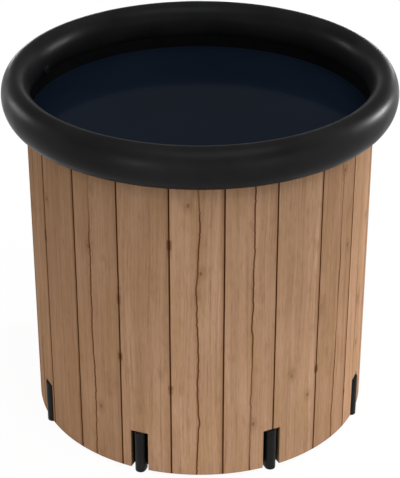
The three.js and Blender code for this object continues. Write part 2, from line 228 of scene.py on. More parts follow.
def step(tree, value, low, high, start=0.0, end=1.0):
    """A soft step: start where the value is low, end where it is high."""
    inputs = {"Value": value, "From Min": low, "From Max": high, "To Min": start, "To Max": end}
    return add(tree, "ShaderNodeMapRange", inputs, interpolation_type="SMOOTHSTEP").outputs[0]


def spread(tree, x, y=0.0, z=0.0):
    return add(tree, "ShaderNodeCombineXYZ", {0: x, 1: y, 2: z}).outputs[0]


print("mid grey is", round(colour(128, 128, 128)[0], 3), "in light")


# %% Pattern and finish helpers
def blend(tree, share, a, b, way="MIX"):
    inputs = {0: share, 6: a, 7: b}
    return add(tree, "ShaderNodeMix", inputs, data_type="RGBA", blend_type=way).outputs[2]


def noise(tree, vector, scale=1.0, detail=2.0, roughness=0.5):
    inputs = {"Vector": vector, "Scale": scale, "Detail": detail, "Roughness": roughness}
    return add(tree, "ShaderNodeTexNoise", inputs).outputs["Fac"]


def chance(tree, value):
    """A random number from 0 to 1 that stays the same for the same value."""
    return add(tree, "ShaderNodeTexWhiteNoise", {"W": value}, noise_dimensions="1D").outputs["Value"]


def finish(name, roughness, specular, ior=1.5):
    """A new material with one surface shader, whose even values sit on its own sockets."""
    material = bpy.data.materials.new(name)
    material.use_nodes = True
    tree = material.node_tree
    skin = tree.nodes["Principled BSDF"]
    skin.inputs["Roughness"].default_value = roughness
    skin.inputs["Specular IOR Level"].default_value = specular
    skin.inputs["IOR"].default_value = ior
    print("finish", name)
    return material, tree, skin


def relief(tree, skin, height, depth):
    """Fine surface relief: height from 0 to 1, depth in metres."""
    inputs = {"Height": height, "Distance": depth, "Strength": 1.0}
    bump = add(tree, "ShaderNodeBump", inputs)
    tree.links.new(bump.outputs[0], skin.inputs["Normal"])


print("materials in the frame", len(bpy.data.materials))


# %% [markdown]
# ## The plank print
# On the real tub the planks are ink on a smooth coated sheet: no groove or gap is cut. So the wood
# is painted in the material only, on a map whose u is the way round the wall and whose v is the
# height, both in metres. It could be a picture, but a drawn rule stays sharp at any distance:
# 21 planks, each with its own tone, grain, a drying crack, knots, and a dark edge beside the joint.

# %% Plank layout
PLANK_COUNT = 21
PLANK_WIDTH = 2 * math.pi * WALL_RADIUS / PLANK_COUNT
FIRST_JOINT = math.radians(5.6) * WALL_RADIUS
JOINT_WANDER = 0.004


def grain(tree, u, v, across, along, seed=0.0, detail=2.0, roughness=0.5):
    """Noise stretched along the planks, with so many blots to a metre across and along them."""
    return noise(tree, spread(tree, times(tree, u, across), times(tree, v, along), seed), 1.0,
                 detail, roughness)


def plank_layout(tree, u, v):
    """The place in planks, the nearest joint, the way off it in metres, and the plank's number."""
    along = calc(tree, "DIVIDE", minus(tree, u, FIRST_JOINT), PLANK_WIDTH)
    joint = calc(tree, "ROUND", along)
    wander = minus(tree, grain(tree, joint, v, 7.31, 1.7), 0.5)
    beside = times(tree, minus(tree, along, joint), PLANK_WIDTH)
    beside = minus(tree, beside, times(tree, wander, JOINT_WANDER))
    plank = minus(tree, joint, calc(tree, "LESS_THAN", beside, 0.0))
    return along, joint, beside, plank


print("plank width", round(PLANK_WIDTH, 4))

# %% [markdown]
# ## Grain of the print
# Under the dark lines lies the wood's own colour. It is built as a printer lays inks: a ground of
# two browns in long streaks, then one layer over another, each let through by its own stretched
# noise. Single noise would look like marble, so wide patches, lines and short strokes are mixed.

# %% Wood grain
PRINT_DARK = colour(139, 108, 84)
PRINT_LIGHT = colour(152, 120, 96)
PRINT_PALE = colour(170, 138, 112)
PRINT_OLIVE = colour(140, 111, 78)
PRINT_STREAK = colour(104, 76, 52)
GRAIN_BOW = 0.03
TONE_SEED = 12.195


def wood_grain(tree, u, v, plank):
    """The planks' own colour, before knots, cracks and joints."""
    bowed = plus(tree, u, times(tree, grain(tree, u, v, 9.0, 1.6, plank), GRAIN_BOW))
    seed = times(tree, plank, 3.17)
    broad = grain(tree, bowed, v, 62.0, 1.3, seed, 3.0, 0.55)
    cloud = grain(tree, u, v, 14.0, 4.0, seed)
    lines = grain(tree, bowed, v, 210.0, 2.2, seed)
    fine = grain(tree, bowed, v, 420.0, 6.0, seed, 3.0, 0.65)
    smear = grain(tree, u, v, 30.0, 11.0, seed, 3.0, 0.6)
    olive = grain(tree, u, v, 24.0, 5.0, plank, 3.0, 0.6)
    stroke = grain(tree, u, v, 330.0, 34.0, seed, 2.0, 0.6)
    tone = chance(tree, plus(tree, plank, TONE_SEED))
    wood = blend(tree, step(tree, broad, 0.34, 0.66), PRINT_DARK, PRINT_LIGHT)
    for mark, starts_at, full_at, strength, ink in (
            (cloud, 0.38, 0.72, 0.32, PRINT_PALE), (lines, 0.52, 0.3, 0.28, PRINT_STREAK),
            (fine, 0.46, 0.22, 0.7, PRINT_STREAK), (smear, 0.56, 0.78, 0.45, PRINT_STREAK),
            (olive, 0.46, 0.66, 0.4, PRINT_OLIVE), (stroke, 0.5, 0.72, 0.24, PRINT_STREAK),
            (stroke, 0.42, 0.25, 0.26, PRINT_PALE), (tone, 0.15, 0.9, 0.5, PRINT_STREAK)):
        wood = blend(tree, step(tree, mark, starts_at, full_at, 0.0, strength), wood, ink)
    return wood


print("grain bows by", GRAIN_BOW, "m")

# %% [markdown]
# ## Knots, cracks and joints of the print
# These are the marks that make the picture read as planks. A knot is a dark eye in a soft ring, a
# drying crack is one wavering line in most planks, and a joint is a dark line with a shaded edge.
# Each is the way off from its middle, cut by a soft step, so that its width can be set.

# %% Knots
PRINT_CRACK = colour(70, 36, 13)
KNOTS_ACROSS, KNOTS_ALONG = 9.0, 5.2


def with_knots(tree, u, v, wood):
    """A knot in some of the cells that the print is divided into."""
    place = spread(tree, times(tree, u, KNOTS_ACROSS), times(tree, v, KNOTS_ALONG))
    cells = add(tree, "ShaderNodeTexVoronoi", {"Vector": place, "Scale": 1.0}, voronoi_dimensions="2D")
    pick = add(tree, "ShaderNodeSeparateColor", {0: cells.outputs["Color"]}).outputs[0]
    present = step(tree, pick, 0.6, 0.64)
    halo = times(tree, step(tree, cells.outputs["Distance"], 0.13, 0.04, 0.0, 0.3), present)
    eye = times(tree, step(tree, cells.outputs["Distance"], 0.035, 0.012, 0.0, 0.5), present)
    return blend(tree, eye, blend(tree, halo, wood, PRINT_STREAK), PRINT_CRACK)


print("knot cells to a square metre", round(KNOTS_ACROSS * KNOTS_ALONG, 1))

# %% Cracks
PRINT_EDGE = colour(90, 58, 33)
CRACK_WAVER = 0.03
CRACK_SEED, STRENGTH_SEED = 23.805, 31.995


def with_cracks(tree, v, along, plank, wood):
    """The crack comes and goes, is faint in some planks, and has a shade on its left."""
    spot = plus(tree, 0.32, times(tree, chance(tree, plus(tree, plank, CRACK_SEED)), 0.36))
    waver = minus(tree, grain(tree, plank, v, 5.3, 3.0, 0.0, 8.0, 0.68), 0.5)
    off = times(tree, minus(tree, along, plus(tree, plank, spot)), PLANK_WIDTH)
    off = minus(tree, off, times(tree, waver, CRACK_WAVER))
    gone = grain(tree, plank, v, 9.1, 2.2)
    strong = step(tree, chance(tree, plus(tree, plank, STRENGTH_SEED)), 0.2, 0.6, 0.12, 1.0)
    shade = times(tree, step(tree, off, -0.006, -0.0005, 0.0, 0.4), calc(tree, "LESS_THAN", off, 0.0))
    shade = times(tree, shade, times(tree, strong, step(tree, gone, 0.4, 0.55)))
    crack = times(tree, step(tree, calc(tree, "ABSOLUTE", off), 0.0022, 0.0006), strong)
    crack = times(tree, crack, step(tree, gone, 0.3, 0.5, 0.0, 0.97))
    return blend(tree, crack, blend(tree, shade, wood, PRINT_EDGE), PRINT_CRACK)


print("cracks waver by", CRACK_WAVER, "m")

# %% Joints
PRINT_JOINT = colour(50, 24, 7)
SHADE_SEED = 0.71


def with_joints(tree, v, joint, beside, wood):
    """A dark line, a shaded plank edge on its left, and short dark stains beside it."""
    away = calc(tree, "ABSOLUTE", beside)
    edge = times(tree, step(tree, beside, -0.009, -0.001), calc(tree, "LESS_THAN", beside, 0.0))
    weight = chance(tree, plus(tree, joint, SHADE_SEED))
    edge = times(tree, edge, step(tree, weight, 0.0, 1.0, 0.1, 0.6))
    stain = step(tree, grain(tree, joint, v, 4.3, 16.0), 0.66, 0.74, 0.0, 0.75)
    stain = times(tree, stain, step(tree, away, 0.007, 0.002))
    wood = blend(tree, stain, blend(tree, edge, wood, PRINT_EDGE), PRINT_JOINT)
    return blend(tree, step(tree, away, 0.0022, 0.001), wood, PRINT_JOINT)


# %% [markdown]
# ## The printed sheet
# The ink lies on a coated cloth that is welded into a tube, with a lap at one place. A dull sheet
# mirrors little even at a glancing look, so its index is low. Light and shade are painted into the
# print: it is lighter at the foot as painted light, and darker at the head as painted shade under the
# ring. The cloth's fine grain and the lap's step are too small for mesh, so they are relief.

# %% Printed wood
DULL_SHEET = 1.09
WELD_ANGLE = math.radians(225)
WELD_LAP = 0.012
LAP_EDGE = WELD_ANGLE * WALL_RADIUS - WELD_LAP
# Painted light and shade: the print is multiplied lighter at the foot and darker at the head.
FOOT_PAINTED_LIGHT, HEAD_PAINTED_SHADE = 1.23, 0.92


def printed_wood():
    material, tree, skin = finish("printed_wood", 0.55, 0.03, DULL_SHEET)
    print_map = add(tree, "ShaderNodeUVMap", uv_map="print")
    split = add(tree, "ShaderNodeSeparateXYZ", {0: print_map.outputs[0]})
    u, v = split.outputs[0], split.outputs[1]
    along, joint, beside, plank = plank_layout(tree, u, v)
    wood = with_knots(tree, u, v, wood_grain(tree, u, v, plank))
    wood = with_cracks(tree, v, along, plank, wood)
    wood = with_joints(tree, v, joint, beside, wood)
    # Painted light and shade: lighter towards the foot, darker towards the ring at the head.
    tint = step(tree, v, 0.0, WALL_TOP, FOOT_PAINTED_LIGHT, HEAD_PAINTED_SHADE)
    wood = blend(tree, 1.0, wood, spread(tree, tint, tint, tint), "MULTIPLY")
    tree.links.new(wood, skin.inputs["Base Color"])

    spot = add(tree, "ShaderNodeTexCoord").outputs["Object"]
    gloss = step(tree, noise(tree, spot, 40.0), 0.3, 0.7, 0.5, 0.62)
    tree.links.new(gloss, skin.inputs["Roughness"])
    lap = step(tree, u, LAP_EDGE, LAP_EDGE + 0.0006)
    cloth = times(tree, noise(tree, spot, 900.0, 1.0), 0.08)
    relief(tree, skin, plus(tree, cloth, lap), 0.0005)
    return material


wood_print = printed_wood()

# %% [markdown]
# ## Black sheets, plastics, rubber and foam
# The ring and the liner are the same black coated sheet, the ring pulled tight and the liner
# duller. The rods, feet and fittings are moulded plastic, the seals and stoppers rubber. Each takes
# its even values on the shader and its life from small changes of tone, gloss and relief.

# %% Black and hidden finishes
def mottled(name, dark, light, roughness, specular, scale, grit, depth, ior=1.5):
    """An even material with soft changes of tone and gloss, and a fine relief."""
    material, tree, skin = finish(name, roughness, specular, ior)
    spot = add(tree, "ShaderNodeTexCoord").outputs["Object"]
    cloud = step(tree, noise(tree, spot, scale, 3.0), 0.3, 0.7)
    tree.links.new(blend(tree, cloud, colour(*dark), colour(*light)), skin.inputs["Base Color"])
    gloss = noise(tree, spot, scale * 2.3, 2.0)
    gloss = step(tree, gloss, 0.3, 0.7, roughness - 0.04, roughness + 0.05)
    tree.links.new(gloss, skin.inputs["Roughness"])
    relief(tree, skin, noise(tree, spot, grit, 2.0), depth)
    return material


ring_sheet = mottled("ring_sheet", (20, 20, 21), (26, 26, 27), 0.34, 0.9, 9, 1100, 0.00002, DULL_SHEET)
liner_sheet = mottled("liner_sheet", (8, 8, 9), (12, 12, 13), 0.5, 0.06, 12, 900, 0.00004)
rod_plastic = mottled("rod_plastic", (14, 14, 14), (20, 20, 20), 0.42, 0.12, 25, 1500, 0.00002)
fitting_plastic = mottled("fitting_plastic", (18, 19, 20), (26, 27, 28), 0.46, 0.16, 40, 1800, 0.00003)
soft_rubber = mottled("soft_rubber", (12, 12, 13), (18, 18, 19), 0.72, 0.08, 60, 1300, 0.00005)
grey_foam = mottled("grey_foam", (58, 58, 60), (76, 76, 78), 0.9, 0.1, 70, 420, 0.0004)
grey_cloth = mottled("grey_cloth", (52, 53, 56), (70, 71, 74), 0.75, 0.15, 45, 1000, 0.00012)

# %% [markdown]
# ## The printed wall
# The cover is one sheet round the tub, folded in under the hem and into eight square notches where
# the rods come out. A boolean cut would leave raw edges, so the fold is drawn as the sheet really
# runs: columns of faces round the wall, left out at the notches, with the notch sides, roof and hem
# added as strips. A bevel then gives the folds their small radius and Solidify gives the thickness.

# %% Columns round the wall
NOTCH_HALF = ROD_RADIUS + 0.0075
NOTCH_TOP = HEM_Z + 0.09
NOTCH_ANGLE = math.asin(NOTCH_HALF / WALL_RADIUS)
COLUMNS_BETWEEN = 44
COLUMNS_NOTCH = 8


def around(radius, angle, height):
    """A point at an angle from the front (-Y) towards +X."""
    return Vector((radius * math.sin(angle), -radius * math.cos(angle), height))


def print_place(angle):
    """How far round the print an angle is. The print starts and ends at the welded lap."""
    return (angle - (2 * math.pi if angle > WELD_ANGLE else 0)) * WALL_RADIUS


def wall_angles():
    """Column angles round the wall, with True for a column that opens a notch."""
    columns = []
    for i in range(ROD_COUNT):
        middle = (i + 0.5) * ROD_STEP
        for k in range(COLUMNS_NOTCH):
            columns.append((middle - NOTCH_ANGLE + 2 * NOTCH_ANGLE * k / COLUMNS_NOTCH, True))
        gap = ROD_STEP - 2 * NOTCH_ANGLE
        for k in range(COLUMNS_BETWEEN):
            columns.append((middle + NOTCH_ANGLE + gap * k / COLUMNS_BETWEEN, False))
    return columns


print("wall columns", len(wall_angles()))

# %% Notch folds
HEM_INNER = LINER_RADIUS + 0.0006
NOTCH_FRONT = -math.sqrt(WALL_RADIUS ** 2 - NOTCH_HALF ** 2)
NOTCH_BACK = -math.sqrt(HEM_INNER ** 2 - NOTCH_HALF ** 2)
NOTCH_MIDDLE = (HEM_Z + NOTCH_TOP) / 2
ROD_PLAY = 0.0006


def notch_sides(face, turn, middle):
    for side in (-1, 1):
        front = print_place(middle + side * NOTCH_ANGLE)
        back = front - side * (NOTCH_FRONT - NOTCH_BACK)
        for low, high in ((HEM_Z, NOTCH_MIDDLE), (NOTCH_MIDDLE, NOTCH_TOP)):
            corners = [(NOTCH_FRONT, low), (NOTCH_BACK, low), (NOTCH_BACK, high), (NOTCH_FRONT, high)]
            marks = [(front, low), (back, low), (back, high), (front, high)]
            face([turn @ Vector((side * NOTCH_HALF, y, z)) for y, z in corners], marks)


def notch_roof(face, turn, middle):
    """The notch's roof: from its outline in to the round hole for the rod."""
    outline, circle = [], []
    for k in range(COLUMNS_NOTCH + 1):
        x = WALL_RADIUS * math.sin(NOTCH_ANGLE * (2 * k / COLUMNS_NOTCH - 1))
        outline.append((x, -math.sqrt(WALL_RADIUS ** 2 - x * x)))
    outline += [(NOTCH_HALF, NOTCH_BACK), (-NOTCH_HALF, NOTCH_BACK)]
    for x, y in outline:
        way = Vector((x, y + ROD_CIRCLE)).normalized() * (ROD_RADIUS + ROD_PLAY)
        circle.append((way.x, way.y - ROD_CIRCLE))
    for k in range(len(outline)):
        n = (k + 1) % len(outline)
        flat = [outline[k], outline[n], circle[n], circle[k]]
        points = [turn @ Vector((x, y, NOTCH_TOP)) for x, y in flat]
        marks = [(print_place(middle) + x, NOTCH_TOP + WALL_RADIUS + y) for x, y in flat]
        face(points, marks)


print("notch", round(2 * NOTCH_HALF, 4), "wide and", round(NOTCH_TOP - HEM_Z, 4), "high")

# %% Wall and hem faces
WALL_ROWS = 12


def wall_faces(face):
    """The upright faces of the wall, and the hem turned in under them between the notches."""
    columns = wall_angles()
    heights = [HEM_Z, NOTCH_MIDDLE, NOTCH_TOP]
    heights += [NOTCH_TOP + (WALL_TOP - NOTCH_TOP) * k / WALL_ROWS for k in range(1, WALL_ROWS + 1)]
    for i, (a, in_notch) in enumerate(columns):
        b = columns[(i + 1) % len(columns)][0]
        b += 2 * math.pi if b < a else 0
        ua = print_place((a + b) / 2) - (b - a) / 2 * WALL_RADIUS
        ub = ua + (b - a) * WALL_RADIUS
        for low, high in zip(heights, heights[1:]):
            if in_notch and high <= NOTCH_TOP:
                continue
            face([around(WALL_RADIUS, a, low), around(WALL_RADIUS, b, low),
                  around(WALL_RADIUS, b, high), around(WALL_RADIUS, a, high)],
                 [(ua, low), (ub, low), (ub, high), (ua, high)])
        if not in_notch:
            depth = WALL_RADIUS - HEM_INNER
            face([around(HEM_INNER, a, HEM_Z), around(HEM_INNER, b, HEM_Z),
                  around(WALL_RADIUS, b, HEM_Z), around(WALL_RADIUS, a, HEM_Z)],
                 [(ua, HEM_Z - depth), (ub, HEM_Z - depth), (ub, HEM_Z), (ua, HEM_Z)])


print("wall rows over the notches", WALL_ROWS)

# %% Wall cover
SHEET = 0.001
FOLD_RADIUS = 0.0012
FOLD_ANGLE = 50


def wall_cover():
    bm = bmesh.new()
    print_layer = bm.loops.layers.uv.new("print")

    def face(points, marks):
        """A face and its place on the print."""
        made = bm.faces.new([bm.verts.new(p) for p in points])
        for loop, mark in zip(made.loops, marks):
            loop[print_layer].uv = mark

    wall_faces(face)
    for i in range(ROD_COUNT):
        middle = (i + 0.5) * ROD_STEP
        turn = Matrix.Rotation(middle, 4, "Z")
        notch_sides(face, turn, middle)
        notch_roof(face, turn, middle)
    bmesh.ops.remove_doubles(bm, verts=bm.verts, dist=1e-5)
    bmesh.ops.recalc_face_normals(bm, faces=bm.faces)
    return bm


def eased(made, width, angle):
    """Rounds the edges of a piece that turn more than the angle."""
    edges = made.modifiers.new("edges", "BEVEL")
    edges.width = width
    edges.segments = 3
    edges.limit_method = "ANGLE"
    edges.angle_limit = math.radians(angle)
    return settle(made)


cover = eased(piece("printed_wall", wall_cover(), wood_print), FOLD_RADIUS, FOLD_ANGLE)
thick = cover.modifiers.new("sheet", "SOLIDIFY")
thick.thickness = SHEET
thick.offset = -1
settle(cover)
print("wall faces", len(cover.data.polygons))


# %% [markdown]
# ## Holes for the drain
# The drain goes straight through the wall at the back. A round cutter takes the same hole out of
# cover, liner and nut with a boolean, which is exact and needs no matching of their faces.

# %% Drain hole
DRAIN_HOLE = 0.0156
DRAIN_Z = (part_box("drain_body")[0].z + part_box("drain_body")[1].z) / 2
TO_BACK = Matrix.Translation((0, 0, DRAIN_Z)) @ Matrix.Rotation(-math.pi / 2, 4, "X")
CUT_FROM, CUT_TO = 0.25, 0.45
CUT_STEPS = 64


def shaped(made, other, operation):
    """Cuts another shape out of a piece or joins it on. The other shape is then thrown away."""
    change = made.modifiers.new("shape", "BOOLEAN")
    change.object = other
    change.operation = operation
    change.solver = "EXACT"
    settle(made)
    bpy.data.objects.remove(other)
    return made


def pierce(made):
    """Cuts the drain's hole. The cutter is turned half a step, so its points miss the wall's columns."""
    outline = [(0, CUT_FROM), (DRAIN_HOLE, CUT_FROM), (DRAIN_HOLE, CUT_TO), (0, CUT_TO)]
    half_step = TO_BACK @ Matrix.Rotation(math.pi / CUT_STEPS, 4, "Z")
    cutter = piece("drain_cutter", turned(outline, CUT_STEPS, loop=False, place=half_step), wood_print)
    return shaped(made, cutter, "DIFFERENCE")


pierce(cover)
dress(cover, "tub_body", "printed_sheet", "outer_wall_cover")

# %% [markdown]
# ## The inflated ring
# The ring is a tube of coated sheet blown up until it is tight, so its section is a smooth upright
# oval and nothing on it is flat. That is a rule, an oval swept round a circle, so Geometry Nodes
# make it: a circle, an oval section and Curve to Mesh, with its four sizes as inputs.

# %% Pieces by Geometry Nodes
LENGTH = "NodeSocketFloat"
COUNT = "NodeSocketInt"


def node_piece(name, inputs, build, material):
    """Runs a small geometry tree once and keeps its result as a plain mesh."""
    tree = bpy.data.node_groups.new(name, "GeometryNodeTree")
    tree.interface.new_socket("Geometry", in_out="OUTPUT", socket_type="NodeSocketGeometry")
    sockets = {}
    for label, (kind, _) in inputs.items():
        sockets[label] = tree.interface.new_socket(label, in_out="INPUT", socket_type=kind)
    start = tree.nodes.new("NodeGroupInput")
    result = build(tree, start.outputs)
    real = add(tree, "GeometryNodeRealizeInstances", {0: result})
    smooth = add(tree, "GeometryNodeSetShadeSmooth", {0: real.outputs[0]})
    painted = add(tree, "GeometryNodeSetMaterial", {0: smooth.outputs[0], "Material": material})
    end = tree.nodes.new("NodeGroupOutput")
    tree.links.new(painted.outputs[0], end.inputs[0])
    made = bpy.data.objects.new(name, bpy.data.meshes.new(name))
    bpy.context.collection.objects.link(made)
    modifier = made.modifiers.new(name, "NODES")
    modifier.node_group = tree
    for label, (_, value) in inputs.items():
        modifier[sockets[label].identifier] = value
    settle(made)
    made.data.name = name
    print(name, "from a tree with inputs", ", ".join(inputs))
    return made


print("geometry trees so far", len(bpy.data.node_groups))

# %% Ring
RING_STEPS, SECTION_STEPS = 256, 72


def swept_oval(tree, sizes):
    path = add(tree, "GeometryNodeCurvePrimitiveCircle",
               {"Resolution": RING_STEPS, "Radius": sizes["Radius"]})
    section = add(tree, "GeometryNodeCurvePrimitiveCircle",
                  {"Resolution": SECTION_STEPS, "Radius": 1.0})
    scale = spread(tree, sizes["Half width"], sizes["Half height"], 1.0)
    oval = add(tree, "GeometryNodeTransform", {0: section.outputs[0], "Scale": scale})
    tube = add(tree, "GeometryNodeCurveToMesh",
               {"Curve": path.outputs[0], "Profile Curve": oval.outputs[0]})
    lift = spread(tree, 0.0, 0.0, sizes["Height"])
    return add(tree, "GeometryNodeTransform", {0: tube.outputs[0], "Translation": lift}).outputs[0]


ring_sizes = {"Radius": (LENGTH, RING_RADIUS), "Half width": (LENGTH, RING_HALF_WIDTH),
              "Half height": (LENGTH, RING_HALF_HEIGHT), "Height": (LENGTH, RING_Z)}
ring = node_piece("inflated_ring", ring_sizes, swept_oval, ring_sheet)
dress(ring, "tub_body", "ring_sheet", "top_ring")

# %% [markdown]
# ## The liner and the water
# The liner is a black bag: a flat floor with a soft corner, a straight wall, and a shoulder that
# leans out over the rod tops to a thin collar under the ring. The water isn't part of the tub, but
# the tub is shown full. Only its surface can be seen, so it is a thin slab at the filling line.

# %% Liner
ROUND_STEPS = 192
COLLAR_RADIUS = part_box("inner_liner")[1].x
COLLAR_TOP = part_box("inner_liner")[1].z - 0.0008
LINER_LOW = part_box("inner_liner")[0].z
LINER_SHEET = 0.0008
LINER_CORNER = 0.012
SHOULDER_LOW = 0.62317
SHOULDER_HIGH = 0.64717
COLLAR_INSIDE = COLLAR_RADIUS - LINER_SHEET
LINER_INSIDE = LINER_RADIUS - LINER_SHEET
outer = [(0, LINER_LOW), (LINER_RADIUS, LINER_LOW), (LINER_RADIUS, SHOULDER_LOW),
         (COLLAR_RADIUS, SHOULDER_HIGH), (COLLAR_RADIUS, COLLAR_TOP)]
inner = [(COLLAR_INSIDE, COLLAR_TOP), (COLLAR_INSIDE, SHOULDER_HIGH), (LINER_INSIDE, SHOULDER_LOW),
         (LINER_INSIDE, LINER_LOW + LINER_SHEET), (0, LINER_LOW + LINER_SHEET)]
bag = rounded(outer, LINER_CORNER, 5, False) + rounded(inner, LINER_CORNER - LINER_SHEET, 5, False)
liner = piece("liner_bag", turned(bag, ROUND_STEPS, loop=False), liner_sheet)
pierce(liner)
dress(liner, "tub_body", "liner_sheet", "inner_liner")

# %% Water
WATER_Z = 0.6525
WATER_EDGE = COLLAR_INSIDE - 0.0004
WATER_DEPTH = 0.004
WATER_RINGS = 12
CREEP = [(0, 0.0012), (0.0015, 0.0003), (0.005, 0)]


def still_water():
    material, tree, skin = finish("still_water", 0.1, 0.06, 1.33)
    spot = add(tree, "ShaderNodeTexCoord").outputs["Object"]
    deep = step(tree, noise(tree, spot, 3.0, 2.0), 0.3, 0.7)
    tint = blend(tree, deep, colour(14, 21, 31), colour(16, 24, 35))
    tree.links.new(tint, skin.inputs["Base Color"])
    relief(tree, skin, noise(tree, spot, 14.0, 1.0), 0.0002)
    return material


surface = [(0, WATER_Z - WATER_DEPTH), (WATER_EDGE, WATER_Z - WATER_DEPTH)]
surface += [(WATER_EDGE - inset, WATER_Z + rise) for inset, rise in CREEP]
surface += [(WATER_EDGE * k / WATER_RINGS, WATER_Z) for k in range(WATER_RINGS - 1, -1, -1)]
water = piece("water_surface", turned(surface, ROUND_STEPS, loop=False), still_water())
dress(water, "tub_body", None)

# %% [markdown]
# ## Skirt, floor and rod pockets
# Behind the wall's top edge a narrow skirt hangs from the ring and joins it to cover and liner. The
# floor is a grey base sheet with a disc of foam on it, and each rod slides into a sewn pocket.
# All are plain round shapes that can hardly be seen, so they are turned with soft edges.

# %% Skirt
skirt_low, skirt_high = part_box("ring_skirt")
SKIRT_SHEET = 0.0008
SKIRT_EDGE = 0.0003
SKIRT_TOP_OUTSIDE, SKIRT_TOP_INSIDE = skirt_high.z - 0.0014, skirt_high.z - 0.0002
band = [(skirt_high.x - SKIRT_SHEET, skirt_low.z), (skirt_high.x, skirt_low.z),
        (skirt_high.x, SKIRT_TOP_OUTSIDE), (skirt_high.x - SKIRT_SHEET, SKIRT_TOP_INSIDE)]
skirt = turned_piece("skirt_band", band, ring_sheet, SKIRT_EDGE, 2, ROUND_STEPS)
dress(skirt, "tub_body", "ring_sheet", "ring_skirt")


# %% Base sheet and floor foam
def floor_disc(name, node, material, edge):
    low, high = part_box(node)
    disc = [(0, low.z), (high.x, low.z), (high.x, high.z), (0, high.z)]
    return turned_piece(name, disc, material, edge, 4, ROUND_STEPS)


base = floor_disc("base_sheet_disc", "base_sheet", grey_cloth, 0.0005)
dress(base, "tub_body", "grey_sheet", "base_sheet")
mat = floor_disc("floor_foam_disc", "floor_foam", grey_foam, 0.003)
dress(mat, "tub_body", "foam", "floor_foam")

# %% Rod pockets
POCKET_SHEET = 0.0008
POCKET_EDGE = 0.0003
for number in range(1, ROD_COUNT + 1):
    pocket_low, pocket_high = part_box(f"rod_pocket_{number}")
    outside = (pocket_high.x - pocket_low.x) / 2
    inside = outside - POCKET_SHEET
    roof = pocket_high.z - POCKET_SHEET
    sleeve = [(0, pocket_high.z), (outside, pocket_high.z), (outside, pocket_low.z),
              (inside, pocket_low.z), (inside, roof), (0, roof)]
    middle = (pocket_low + pocket_high) / 2
    place = Matrix.Translation((middle.x, middle.y, 0))
    pocket = turned_piece(f"pocket_sleeve_{number}", sleeve, grey_cloth, POCKET_EDGE, 2, place=place)
    dress(pocket, "tub_body", "grey_sheet", f"rod_pocket_{number}")

# %% [markdown]
# ## Foam panels
# A panel of firm foam fills the wall between each two rods. No view shows one, but each is its own
# piece, so it is taken from its CAD solid: the loose triangles of a copy are merged, flat faces are
# joined again, and the cut edges are eased as knife-cut foam has them.

# %% Foam panels
FOAM_EDGE = 0.003
FOAM_ANGLE = 50
for number in range(1, ROD_COUNT + 1):
    bm = bmesh.new()
    bm.from_mesh(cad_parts[f"foam_panel_{number}"].data)
    bmesh.ops.remove_doubles(bm, verts=bm.verts, dist=1e-6)
    bmesh.ops.dissolve_limit(bm, angle_limit=math.radians(1), verts=bm.verts, edges=bm.edges)
    panel = eased(piece(f"foam_pad_{number}", bm, grey_foam), FOAM_EDGE, FOAM_ANGLE)
    dress(panel, "tub_body", "foam", f"foam_panel_{number}")

# %% [markdown]
# ## Rods
# Each rod is a plain plastic pipe with a cap in its top. Below it stands an oval foot, as tall as
# the notch, whose round front comes out to the wall's face. Its shank, hidden in the pipe, is left
# to the CAD model. All eight are alike, so each outline is drawn once and set at each place.

# %% Pipe and cap outlines
ROD_BORE = ROD_RADIUS - 0.002
SHANK = ROD_BORE - 0.0004
CAP_LOW, CAP_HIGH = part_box("rod_top_cap_1")
CAP_BRIM = CAP_HIGH.z - 0.004
PIPE_EDGE, CAP_EDGE = 0.0006, 0.0012
pipe = [(ROD_BORE, ROD_LOW.z), (ROD_RADIUS, ROD_LOW.z), (ROD_RADIUS, ROD_HIGH.z), (ROD_BORE, ROD_HIGH.z)]
cap = [(0, CAP_LOW.z), (SHANK, CAP_LOW.z), (SHANK, CAP_BRIM), (ROD_RADIUS, CAP_BRIM),
       (ROD_RADIUS, CAP_HIGH.z), (0, CAP_HIGH.z)]
print("rod length", round(ROD_HIGH.z - ROD_LOW.z, 4))

# %% Oval foot
FOOT_TOP = ROD_LOW.z - 0.0003
FOOT_EDGE, FOOT_STEPS = 0.0014, 64
FOOT_SET_OUT = 0.0082
GROOVE_Z, GROOVE_HALF, GROOVE_DEPTH = 0.009, 0.0008, 0.0007
foot_rows = [(0, 0), (ROD_RADIUS, 0), (ROD_RADIUS, FOOT_TOP), (0, FOOT_TOP)]
foot_rows = rounded(foot_rows, FOOT_EDGE, 4, loop=False)
half_way = len(foot_rows) // 2
foot_rows[half_way:half_way] = [(ROD_RADIUS, GROOVE_Z - GROOVE_HALF),
                                (ROD_RADIUS - GROOVE_DEPTH, GROOVE_Z),
                                (ROD_RADIUS, GROOVE_Z + GROOVE_HALF)]


def oval_foot(turn):
    """The foot's rows spun round, with every point of the front half moved out to the wall's face."""
    bm = turned(foot_rows, FOOT_STEPS, False)
    for vert in bm.verts:
        if vert.co.y < -1e-6:
            vert.co.y -= FOOT_SET_OUT
    bmesh.ops.transform(bm, matrix=turn, verts=bm.verts)
    return bm


print("foot height", round(FOOT_TOP, 4))

# %% Set the rods at their places
for i in range(ROD_COUNT):
    number = i + 1
    angle = (i + 0.5) * ROD_STEP
    stand = Matrix.Translation(around(ROD_CIRCLE, angle, 0))
    tube = turned_piece(f"rod_pipe_{number}", pipe, rod_plastic, PIPE_EDGE, 3, place=stand)
    dress(tube, f"rod_{number}", "black_plastic", f"support_rod_{number}")
    top = turned_piece(f"rod_cap_{number}", cap, fitting_plastic, CAP_EDGE, place=stand)
    dress(top, f"rod_{number}", "black_plastic", f"rod_top_cap_{number}")
    facing = stand @ Matrix.Rotation(angle, 4, "Z")
    foot = piece(f"rod_stand_{number}", oval_foot(facing), rod_plastic)
    dress(foot, f"rod_{number}", "black_plastic", f"rod_foot_{number}")

